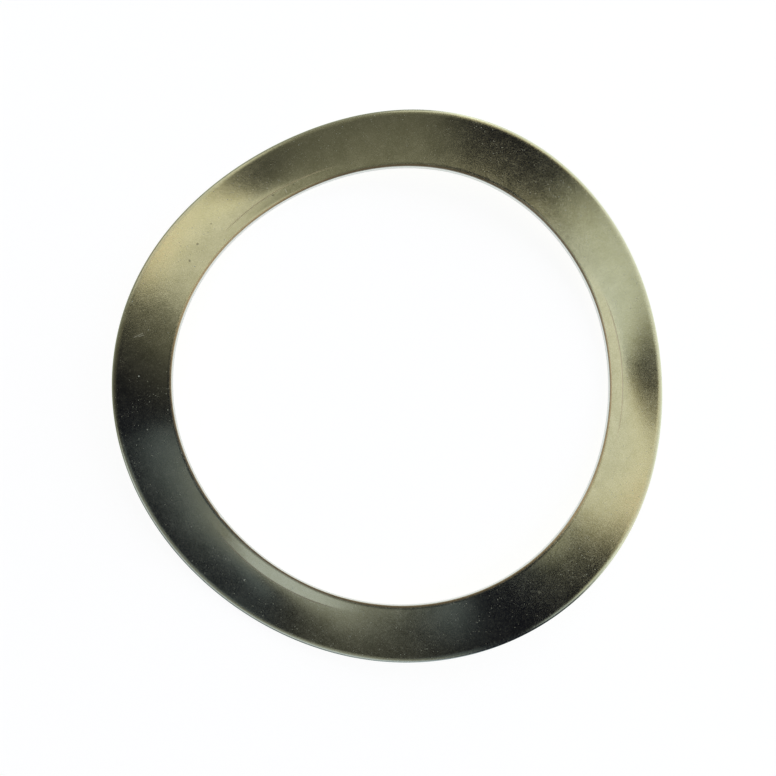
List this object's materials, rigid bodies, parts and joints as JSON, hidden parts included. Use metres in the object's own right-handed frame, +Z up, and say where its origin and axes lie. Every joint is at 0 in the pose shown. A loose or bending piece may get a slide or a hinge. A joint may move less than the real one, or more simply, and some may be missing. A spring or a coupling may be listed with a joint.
{
  "type": "wave washer",
  "caption": "Flat spring-steel ring pressed into even waves, used as a thin axial spring to preload a ball bearing.",
  "frame": {"origin": "on the ring's axis, in the plane that the valleys stand on", "axes": "+Z up along the ring's axis; +X through a valley"},
  "size_m": [0.0394, 0.0394, 0.003],
  "materials": {
    "spring_steel": "satin, tumbled spring steel with a straw tint"
  },
  "bodies": {
    "root": {"wave_washer": "spring_steel"}
  },
  "joints": []
}
